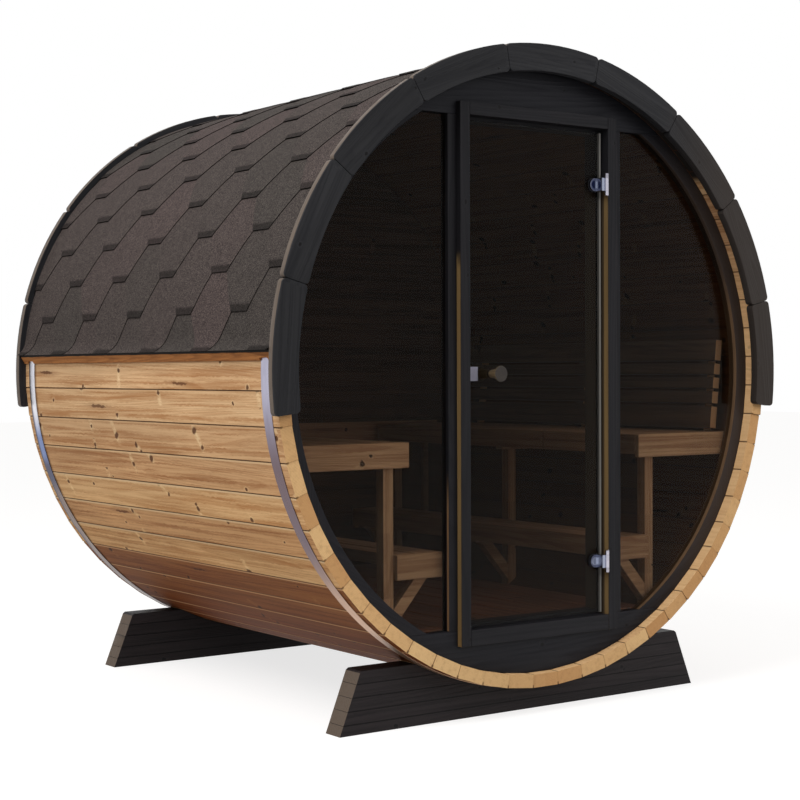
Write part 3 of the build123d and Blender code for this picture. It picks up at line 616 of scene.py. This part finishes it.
def hoop_material():
    """Galvanised strap with painted reflections. The front one turns from blue-white to tan on its way down,
    the rear one to navy, and the rear one is darker towards its outer side.
    """
    material, wires, shader = new_material("hoop_steel", Metallic=0.85, Roughness=0.34)
    space = wires.group("Barrel space")
    y = wires.at("y")
    smear = wires.mottle((9.0, 40.0, 9.0), detail=4.0)
    turn = wires.math("DEGREES", wires.size(space["Angle"]))
    # Painted reflections by the angle round the barrel: pale sky above, darker ground below.
    front = fading(wires, turn, (180, 178, 198), (91, 106, (102, 84, 90)), (118, 140, (206, 164, 128)))
    rear = fading(wires, turn, (236, 236, 244), (98, 104, (104, 124, 172)), (107, 110, (38, 42, 78)),
                  (112, 118, (112, 92, 82)))
    # Painted reflection: the rear hoop darker towards its outer side.
    rear = wires.mix(wires.ramp(y, HOOP_OUTER_SIDE - 0.0155, HOOP_OUTER_SIDE - 0.0055, 0.0, 0.85), rear,
                     (46, 40, 50))
    tint = wires.mix(wires.math("GREATER_THAN", y, 0.0), front, rear)
    tint = wires.mix(wires.ramp(smear, 0.35, 0.8, 0.0, 0.35), tint, (128, 120, 138))
    level = wires.ramp(smear, 0.3, 0.8, 0.26, 0.48)
    wires.join(shader, Base_Color=tint, Roughness=level, Normal=relief(wires, smear, 0.0004, 0.5))
    return material


def glass_material(name, edge=None):
    """Bronze glass that lets two thirds of the light through each face. Past edge, an X, its rim is pale, as
    a painted highlight.
    """
    bronze = (14, 9, 5)
    material, wires, shader = new_material(name, Base_Color=bronze, Roughness=0.02, Specular_IOR_Level=0.14)
    smear = wires.mottle((3.0, 3.0, 2.2))
    alpha = wires.ramp(smear, 0.2, 0.8, 0.30, 0.34)
    if edge:
        # Painted highlight along the door glass's edge.
        rim = wires.ramp(wires.at("x"), edge - 0.0015, edge)
        alpha = wires.fused(rim, 0.55, alpha)
        wires.join(shader, Base_Color=wires.mix(rim, bronze, (134, 132, 128)))
    wires.join(shader, Roughness=wires.ramp(smear, 0.4, 0.8, 0.015, 0.04), Alpha=alpha)
    return material


def shingle_material():
    """Bitumen tabs under dark granules, each tab a little different and darker towards its lower edge."""
    material, wires, shader = new_material("shingles", Roughness=0.9, Specular_IOR_Level=0.1)
    tab = wires.add("Attribute", attribute_name="tab_tone").outputs["Fac"]
    fall = wires.add("Attribute", attribute_name="tab_fall").outputs["Fac"]
    grit = wires.add("TexVoronoi", {"Vector": wires.place(), "Scale": 560.0}).outputs
    speck = wires.parts(grit["Color"])[0]
    colour = wires.mix(wires.ramp(speck, 0.1, 0.95, smooth=False), (38, 34, 34), (98, 89, 86))
    hue = wires.mix(tab, (250, 255, 250), (255, 246, 245))
    colour = wires.tinted(colour, hue)
    cloud = wires.mottle((26.0, 26.0, 26.0), detail=5.0, roughness=0.65)
    streaks = wires.mottle((60.0, 9.0, 6.0), detail=3.0)
    shade = wires.fused(cloud, 0.36, 0.82)
    shade = wires.times(shade, wires.fused(streaks, 0.14, 0.93))
    shade = wires.times(shade, wires.fused(tab, 0.26, 0.87))
    ragged = wires.fused(cloud, 0.05, wires.minus(fall, 0.025))
    shade = wires.times(shade, wires.ramp(ragged, 0.893, 0.930, 1.0, 0.40))
    height = wires.fused(cloud, 0.5, wires.minus(1.0, grit["Distance"]))
    wires.join(shader, Base_Color=wires.shaded(colour, shade), Normal=relief(wires, height, 0.0011, 0.8))
    return material


def shingle_edge_material():
    """The bitumen on the tabs' cut edges."""
    material, wires, shader = new_material("shingle_edge", Roughness=0.9, Specular_IOR_Level=0.02)
    grit = wires.mottle((420.0, 420.0, 420.0), detail=3.0)
    wires.join(shader, Base_Color=fading(wires, grit, (10, 9, 9), (0.3, 0.7, (22, 20, 19))),
               Normal=relief(wires, grit, 0.0009, 0.7))
    return material


def bare_side(wires, colour, share, light=(154, 120, 84), dark=(112, 84, 62)):
    """Bare timber where the staining stops, on faces turned sideways next to the glass."""
    side = wires.faces("y", 0.45, 0.2)
    streak = wires.mottle((60.0, 60.0, 3.0), detail=3.0)
    bare = wires.mix(streak, light, dark)
    return wires.mix(wires.times(side, share), colour, bare)


def ring_reveal(wires, colour):
    """Half bare where it meets the glass, less so higher up where the black is painted shade, and a warmer
    black towards the right as painted light.
    """
    # Painted light: the black turns warmer towards the right.
    right_light = wires.ramp(wires.at("x"), 0.45, 0.85, 0.0, 0.5)
    # Painted shade: less bare timber shows higher up.
    share = wires.ramp(wires.at("z"), AXIS_HEIGHT + 0.40, AXIS_HEIGHT + 0.15, 0.08, 0.55)
    return bare_side(wires, wires.mix(right_light, colour, (74, 62, 54)), share)


def frame_reveal(wires, colour):
    """Black near the top as painted shade: down to the upper hinge on the right, and to half height on the
    left.
    """
    right = wires.math("GREATER_THAN", wires.at("x"), 0.0)
    ragged = wires.mottle((30.0, 30.0, 8.0), detail=3.0)
    height = wires.minus(wires.at("z"), wires.fused(right, 0.26, AXIS_HEIGHT + 0.36))
    height = wires.fused(ragged, 0.12, height)
    near = wires.ramp(wires.at("y"), WALL_FACE + 0.003, WALL_FACE - 0.001, 0.22, 0.9)
    return bare_side(wires, colour, wires.times(wires.ramp(height, 0.08, 0.03), near), light=(148, 122, 80),
                     dark=(112, 88, 58))


def post_reveal(wires, colour):
    """Bare only near the foot, and only towards the front; the black above is painted shade."""
    low = wires.ramp(wires.at("z"), AXIS_HEIGHT - 0.30, AXIS_HEIGHT - 0.45)
    near = wires.ramp(wires.at("y"), WALL_FACE + 0.011, WALL_FACE + 0.009)
    return bare_side(wires, colour, wires.times(low, near, 0.9))


def trim_edge(wires, colour):
    """The trims' outer curved edge, which has weathered to brown-grey, and a black that turns warmer towards
    the right as painted light.
    """
    space = wires.group("Barrel space")
    side = wires.faces("y", 0.6, 0.3)
    outer = wires.ramp(space["Radius"], STAVE_RADIUS + 0.014, STAVE_RADIUS + 0.022)
    near = wires.ramp(wires.size(wires.at("y")), TRIM_FACE - 0.0055, TRIM_FACE - 0.0075)
    fleck = wires.mottle((22.0, 60.0, 22.0), detail=4.0)
    bare = wires.mix(fleck, (118, 104, 92), (88, 78, 70))
    share = wires.times(side, outer, near, 0.9)
    # Painted light: the black turns warmer towards the right.
    right_light = wires.ramp(wires.at("x"), 0.45, 0.85, 0.0, 0.35)
    return wires.mix(share, wires.mix(right_light, colour, (78, 66, 56)), bare)


def eave_shadow(wires, colour):
    """Black close under the shingles' edge."""
    space = wires.group("Barrel space")
    ragged = wires.mottle((0.0, 12.0, 0.0), detail=3.0)
    level = wires.fused(ragged, 0.0030, space["Radius"])
    under = wires.ramp(level, STAVE_RADIUS + 0.0202, STAVE_RADIUS + 0.0218)
    return wires.mix(under, colour, (18, 14, 12))


def slat_ends(wires, colour):
    """Daylight through the glass reaches only the slats' front ends."""
    return wires.mix(wires.faces("y", 0.7, 0.9), colour, (255, 192, 132))


def bench_posts(wires, x, z):
    """1 in the bench frames' posts, whose grain stands upright."""
    aside = wires.size(x)
    return wires.times(wires.math("GREATER_THAN", aside, POST_INNER - 0.001),
                       wires.math("LESS_THAN", aside, POST_OUTER + 0.001),
                       wires.math("LESS_THAN", z, SEAT_RAIL_BOTTOM))


def daylight(wires, colour):
    """The benches get their light through the glass front: sides and what lies deeper are darker."""
    side = wires.faces("x", 0.5, 0.9, 1.0, 0.62)
    outward = wires.ramp(wires.times(wires.facing("x"), wires.at("x")), 0.20, 0.45, 1.0, 0.50)
    deep = wires.ramp(wires.at("y"), -0.70, 0.60, 1.0, 0.72)
    return wires.shaded(colour, wires.times(side, outward, deep))


def knob_face_shade(wires, colour):
    """The knobs' flat faces are darker than their necks, as painted shade."""
    return wires.mix(wires.faces("y", 0.6, 0.9, 0.0, 0.9), colour, (33, 29, 29))


def rear_outside(wires, colour):
    """The rear wall's outer face is stained black like the front."""
    outside = wires.ramp(wires.at("y"), REAR_WALL_FACE - 0.0095, REAR_WALL_FACE - 0.0025, 0.0, 0.86)
    return wires.mix(outside, colour, (26, 26, 30))


finishes = {
    "staves": stave_material(),
    "hoops": hoop_material(),
    "eave": natural_material("eave_wood", "zyx", (196, 132, 78), (138, 88, 52), rough=0.7, knots=0.6,
                             specular=0.08, stain_and_light=eave_shadow),
    "trim": stained_material("black_trim", width=TRIM_PITCH, start=-TRIM_HALF_ANGLE, dark=(44, 44, 46),
                             late=(29, 29, 32), wear_and_light=trim_edge),
    # The wall's blacks are darker than the trims' as painted shade, since the wall lies recessed behind them.
    "wall": stained_material("black_wall", "zxy", width=0.1455, start=0.117, dark=(32, 32, 36),
                             late=(20, 20, 24)),
    "wall_curve": stained_material("black_wall_curve", width=radians(60.0), dark=(34, 33, 37),
                                   late=(22, 22, 26), wear_and_light=ring_reveal),
    "frame": stained_material("black_frame", "xzy", wear_and_light=frame_reveal),
    "post": stained_material("black_post", "xzy", wear_and_light=post_reveal),
    "frame_level": stained_material("black_frame_level", "zxy"),
    "cradle": stained_material("black_cradle", "zxy", width=0.040, start=-0.0075, dark=(46, 41, 42),
                               late=(30, 27, 28), joint=0.8, ends=(106, 92, 80)),
    # The rear wall's boards are darkened as painted shade for the dim room inside.
    "rear": natural_material("rear_wall_boards", "zxy", (84, 58, 42), (58, 38, 26), width=0.098, start=0.02,
                             joint=0.8, stain_and_light=rear_outside),
    "bench": natural_material("bench_wood", "xyz", (240, 186, 136), (190, 134, 92), width=0.14,
                              stain_and_light=daylight),
    "bench_cross": natural_material("bench_wood_cross", "zxy", (240, 188, 138), (192, 136, 94), width=0.2,
                                    stain_and_light=daylight, knots=0.2, upright=bench_posts),
    # The backrest's darker wood is painted shade; its bright front ends are painted light.
    "backrest": natural_material("backrest_wood", "xyz", (112, 86, 64), (78, 56, 42), width=0.14,
                                 stain_and_light=slat_ends),
    "cross_rail": natural_material("rail_wood", "zxy", (212, 158, 118), (160, 112, 80), stain_and_light=daylight),
    "floor": natural_material("floor_wood", "xyz", (168, 112, 80), (118, 70, 46), width=0.1445,
                              start=-0.5058),
    "glass": glass_material("tinted_glass"),
    "door_glass": glass_material("tinted_door_glass", edge=GLASS_SIDE),
    "chrome": steel_material("hinge_chrome", (186, 184, 196), 0.16),
    "clamp": clamp_material(),
    "cap": cap_material(),
    "gasket": plain_material("hinge_gasket", (30, 30, 34), 0.6),
    "catch": steel_material("catch_metal", (128, 126, 138), 0.36),
    "knob": natural_material("turned_wood", "xyz", (128, 110, 84), (88, 74, 56), rough=0.45, knots=0.0,
                             stain_and_light=knob_face_shade),
    "shingle": shingle_material(),
    "shingle_edge": shingle_edge_material(),
}

dressing = {  # the finish of each frame piece, by the longest start of its name
    "staves_": "staves", "hoop_": "hoops", "roof_": "shingle", "eave_batten_": "eave",
    "arch_trim_": "trim", "cradle_": "cradle",
    "front_wall_": "wall", "front_wall_curve": "wall_curve", "front_wall_post": "post",
    "window_glass": "glass", "rear_wall": "rear",
    "door_frame_": "frame", "door_frame_head": "frame_level", "door_frame_sill": "frame_level",
    "door_glass": "door_glass", "door_catch": "catch", "door_knobs": "knob",
    "hinge_knuckles": "chrome", "hinge_clamps": "clamp",
    "bench_": "bench", "bench_frame": "bench_cross",
    "backrest": "backrest", "cross_rail": "cross_rail",
    "floor_boards": "floor", "floor_bearers": "bench_cross",
}
eased = {  # how far each kind of piece has its edges eased, in metres
    "arch_trim_": 0.002, "eave_batten_": 0.001, "front_wall_": 0.0012, "door_frame_": 0.002,
    "cradle_": 0.0007, "bench_": 0.002, "backrest": 0.002, "cross_rail": 0.002, "floor_boards": 0.002,
    "door_glass": 0.0008, "door_catch": 0.0008, "door_knobs": 0.0012, "hinge_": 0.0008,
}


def longest_match(name, table):
    found = [start for start in table if name.startswith(start)]
    return table[max(found, key=len)] if found else None


def ease_edges(piece, width):
    """Rounds a frame piece's edges with live modifiers, which leave its own mesh as it is."""
    weld = piece.modifiers.new("weld", "WELD")
    weld.merge_threshold = 0.00002
    flat = piece.modifiers.new("flat", "DECIMATE")
    flat.decimate_type = "DISSOLVE"
    flat.angle_limit = radians(0.3)
    bevel = piece.modifiers.new("ease", "BEVEL")
    bevel.width = width
    bevel.segments = 2
    bevel.limit_method = "ANGLE"
    bevel.angle_limit = radians(32)


for name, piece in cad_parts.items():
    piece.data.materials.clear()
    piece.data.materials.append(finishes[longest_match(name, dressing)])
    width = longest_match(name, eased)
    if width:
        ease_edges(piece, width)


# ---- Shingles ----
TAB_LENGTH = 0.2557
TAB_WIDTH = 0.247
TAB_FLAT = 0.092
TAB_STEP = 0.1695           # from one column of tabs to the next
TAB_RISE = 0.0045           # of a tab's lower edge
TAB_CUTS = 7                # across a tab, so that it can follow the barrel
TAB_COLUMNS = range(-2, 11)
TAB_ROWS = range(-1, 7)
CROWN_GAP = 0.0002          # from the crown to each sheet's upper edge
SHEET_UNDER = 0.0019        # below the level of a tab's upper edge
ROOF_LEVEL = 1.0140         # radius of that level
SLOPE_LENGTH = ROOF_HALF_ANGLE * ROOF_LEVEL
FLARE_LENGTH = 0.060        # last stretch, which stands out over the eave battens
FLARE_RISE = 0.029
FLARE_CUTS = 6
FIRST_FLAT = radians(79.7) * ROOF_LEVEL     # lower edge of the lowest whole tabs in the first column
FIRST_COLUMN = FRONT_END + 0.2235


def pick_points(mesh, wanted):
    """In edit mode, selects only the points for which wanted is true."""
    bpy.ops.mesh.select_mode(type="VERT")
    bpy.ops.mesh.select_all(action="DESELECT")
    shape = bmesh.from_edit_mesh(mesh)
    for point in shape.verts:
        point.select_set(bool(wanted(point.co)))
    shape.select_flush(True)
    bmesh.update_edit_mesh(mesh)


def bisect_all(place, direction, clear=False):
    """Cuts everything with one plane. With clear, what lies on its far side goes and the cut is closed."""
    bpy.ops.mesh.select_all(action="SELECT")
    bpy.ops.mesh.bisect(plane_co=place, plane_no=direction, clear_outer=clear, use_fill=clear)


def finish_edges(mesh):
    """Gives the faces that stand upright the second finish, while the mesh lies flat."""
    for face in mesh.polygons:
        face.material_index = int(abs(face.normal.z) < 0.7)


def model_tab():
    """One six-sided tab, laid flat with its slope along X: a thin wedge, high at its lower edge."""
    deselect()
    bpy.ops.mesh.primitive_circle_add(vertices=6, radius=1.0, fill_type="NGON", location=(0, 0, 0))
    tab = bpy.context.object
    tab.name = "shingle_tab"
    bpy.ops.object.mode_set(mode="EDIT")
    mesh = tab.data
    pick_points(mesh, lambda co: abs(co.x) < 0.1)
    bpy.ops.transform.resize(value=(1.0, TAB_WIDTH / 2, 1.0))
    pick_points(mesh, lambda co: abs(co.x) > 0.1)
    bpy.ops.transform.resize(value=(TAB_LENGTH / 2 / cos(pi / 6), TAB_FLAT, 1.0))
    bpy.ops.mesh.select_all(action="SELECT")
    bpy.ops.mesh.extrude_region_move(TRANSFORM_OT_translate={"value": (0, 0, -SHEET_UNDER)})
    bpy.ops.mesh.select_all(action="SELECT")
    bpy.ops.mesh.normals_make_consistent(inside=False)
    for end in (0, 1):          # the middle and lower points of the tab's upper side
        pick_points(mesh, lambda co: co.z > -SHEET_UNDER / 2 and round(2 * co.x / TAB_LENGTH) == end)
        bpy.ops.transform.translate(value=(0, 0, TAB_RISE * (end + 1) / 2))
    for cut in range(1, TAB_CUTS + 1):
        bisect_all((TAB_LENGTH * (cut / (TAB_CUTS + 1) - 0.5), 0, 0), (1, 0, 0))
    bpy.ops.object.mode_set(mode="OBJECT")
    for name in ("shingle", "shingle_edge"):
        mesh.materials.append(finishes[name])
    finish_edges(mesh)
    fall = mesh.attributes.new("tab_fall", "FLOAT", "POINT")
    fall.data.foreach_set("value", [point.co.x / TAB_LENGTH + 0.5 for point in mesh.vertices])
    return tab


def tone_of(column, row):
    """The tab's own tone, from 0 to 1, scattered but the same every time."""
    return (sin(column * 12.9898 + row * 78.233) * 43758.5453) % 1.0


def lay_tabs(tab):
    """Copies the tab over one slope, each copy with its own mesh and tone, and joins them."""
    copies = []
    for column in TAB_COLUMNS:
        shift = 0.0 if column % 2 == 0 else TAB_LENGTH / 2
        for row in TAB_ROWS:
            lower = FIRST_FLAT + TAB_LENGTH - shift - row * TAB_LENGTH
            copy = tab.copy()
            copy.data = tab.data.copy()
            bpy.context.scene.collection.objects.link(copy)
            centre = Vector((lower - TAB_LENGTH / 2, FIRST_COLUMN + column * TAB_STEP, 0))
            copy.data.transform(Matrix.Translation(centre))
            tone = copy.data.attributes.new("tab_tone", "FLOAT", "POINT")
            tone.data.foreach_set("value", [tone_of(column, row)] * len(copy.data.vertices))
            copies.append(copy)
    deselect()
    for copy in copies:
        copy.select_set(True)
    bpy.context.view_layer.objects.active = copies[0]
    bpy.ops.object.join()
    return bpy.context.object


def wrap_on_barrel(sheet, side):
    """Lays the flat sheet round the barrel, from the crown down one side."""
    for point in sheet.data.vertices:
        slope, along, rise = point.co
        flare = FLARE_RISE * max(0.0, (slope - SLOPE_LENGTH) / FLARE_LENGTH + 1.0) ** 3
        angle = slope / ROOF_LEVEL
        radius = ROOF_LEVEL + rise + flare
        point.co = (side * radius * sin(angle), along, AXIS_HEIGHT + radius * cos(angle))
    sheet.data.update()


def make_shingles():
    tab = model_tab()
    for name, side in (("left", -1), ("right", 1)):
        sheet = lay_tabs(tab)
        sheet.name = f"shingles_{name}"
        bpy.ops.object.mode_set(mode="EDIT")
        bisect_all((0, FRONT_END, 0), (0, -1, 0), clear=True)
        bisect_all((0, REAR_END, 0), (0, 1, 0), clear=True)
        bisect_all((CROWN_GAP, 0, 0), (-1, 0, 0), clear=True)
        bisect_all((SLOPE_LENGTH, 0, 0), (1, 0, 0), clear=True)
        for cut in range(1, FLARE_CUTS + 1):
            bisect_all((SLOPE_LENGTH - FLARE_LENGTH * cut / (FLARE_CUTS + 1), 0, 0), (1, 0, 0))
        bpy.ops.object.mode_set(mode="OBJECT")
        finish_edges(sheet.data)
        wrap_on_barrel(sheet, side)
        bpy.ops.object.mode_set(mode="EDIT")
        bpy.ops.mesh.select_all(action="SELECT")
        bpy.ops.mesh.normals_make_consistent(inside=False)
        bpy.ops.object.mode_set(mode="OBJECT")
        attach(sheet, "cabin")
        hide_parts(f"roof_{name}")
    bpy.data.objects.remove(tab)


make_shingles()


# ---- Hinge caps ----
CAP_RADIUS = 0.0130
CAP_THICKNESS = 0.0012
CAP_SHIFT = 0.0025          # from the clamp's centre towards the glass
GASKET_RADIUS = 0.0232
GASKET_THICKNESS = 0.0016


def disc(name, radius, thickness, place, finish):
    """A short cylinder lying along Y, with its rim eased."""
    deselect()
    bpy.ops.mesh.primitive_cylinder_add(vertices=48, radius=radius, depth=thickness, location=(0, 0, 0))
    made = bpy.context.object
    made.name = name
    bpy.ops.object.mode_set(mode="EDIT")
    bpy.ops.mesh.select_all(action="SELECT")
    bpy.ops.transform.rotate(value=pi / 2, orient_axis="X", center_override=(0, 0, 0))
    bpy.ops.transform.translate(value=place)
    bpy.ops.object.mode_set(mode="OBJECT")
    rim = made.modifiers.new("rim", "BEVEL")
    rim.width = 0.0006
    rim.segments = 2
    rim.limit_method = "ANGLE"
    bpy.ops.object.modifier_apply(modifier="rim")
    made.data.materials.append(finishes[finish])
    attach(made, "door")


def make_hinge_caps():
    """A cap on the round end of each clamp, and the dark gasket between clamp and glass."""
    for level, label in zip(HINGE_LEVELS, ("upper", "lower")):
        cap_place = (CLAMP_X - CAP_SHIFT, CLAMP_FACE - 0.0004, level)
        disc(f"hinge_cap_{label}", CAP_RADIUS, CAP_THICKNESS, cap_place, "cap")
        gasket_place = (CLAMP_X, DOOR_FRONT - 0.0009, level)
        disc(f"hinge_gasket_{label}", GASKET_RADIUS, GASKET_THICKNESS, gasket_place, "gasket")


make_hinge_caps()


# ---- Studio ----
def seen_at_once(wires):
    """1 for what the camera sees directly, in a reflection or through glass."""
    path = wires.add("LightPath").outputs
    bounced = wires.math("MAXIMUM", path["Is Glossy Ray"], path["Is Transmission Ray"])
    return wires.math("MAXIMUM", path["Is Camera Ray"], bounced)


def studio_floor():
    deselect()
    bpy.ops.mesh.primitive_plane_add(size=60.0, location=(0, 0, -0.0005))
    floor = bpy.context.object
    floor.name = "studio_floor"
    material = bpy.data.materials.new("studio_floor")
    material.use_nodes = True
    wires = Wiring(material.node_tree)
    matt = wires.add("BsdfDiffuse", {"Color": (0.40, 0.39, 0.38, 1)})
    glow = wires.add("Emission", {"Color": (1, 1, 1, 1), "Strength": wires.times(seen_at_once(wires), 0.75)})
    both = wires.add("AddShader", {0: matt.outputs[0], 1: glow.outputs[0]})
    wires.add("OutputMaterial", {0: both.outputs[0]})
    floor.data.materials.append(material)


def studio_sky():
    world = bpy.data.worlds.new("studio_sky")
    bpy.context.scene.world = world
    world.use_nodes = True
    wires = Wiring(world.node_tree)
    strength = wires.fused(seen_at_once(wires), 0.45, 0.55)
    sky = wires.add("Background", {"Color": (1, 1, 1, 1), "Strength": strength})
    wires.add("OutputWorld", {0: sky.outputs[0]})


def lamp(name, place, size, power, aim=(0, 0, 1.0)):
    data = bpy.data.lights.new(name, "AREA")
    data.shape = "SQUARE"
    data.size = size
    data.energy = power
    made = bpy.data.objects.new(name, data)
    made.location = place
    made.rotation_euler = (Vector(aim) - Vector(place)).to_track_quat("-Z", "Y").to_euler()
    made.visible_glossy = False
    bpy.context.scene.collection.objects.link(made)


def camera():
    data = bpy.data.cameras.new("camera")
    data.lens = 76.13
    data.sensor_width = 36.0
    made = bpy.data.objects.new("camera", data)
    made.location = (-3.5402, -4.9896, 1.0976)
    made.rotation_euler = (radians(90 - 0.991), radians(0.221), radians(-35.799))
    bpy.context.scene.collection.objects.link(made)
    bpy.context.scene.camera = made


studio_floor()
studio_sky()
lamp("key", (-4.5, -1.5, 5.5), 3.5, 260)
lamp("front_fill", (2.5, -6.0, 3.5), 3.0, 90)
camera()
bpy.context.scene.view_settings.view_transform = "Standard"
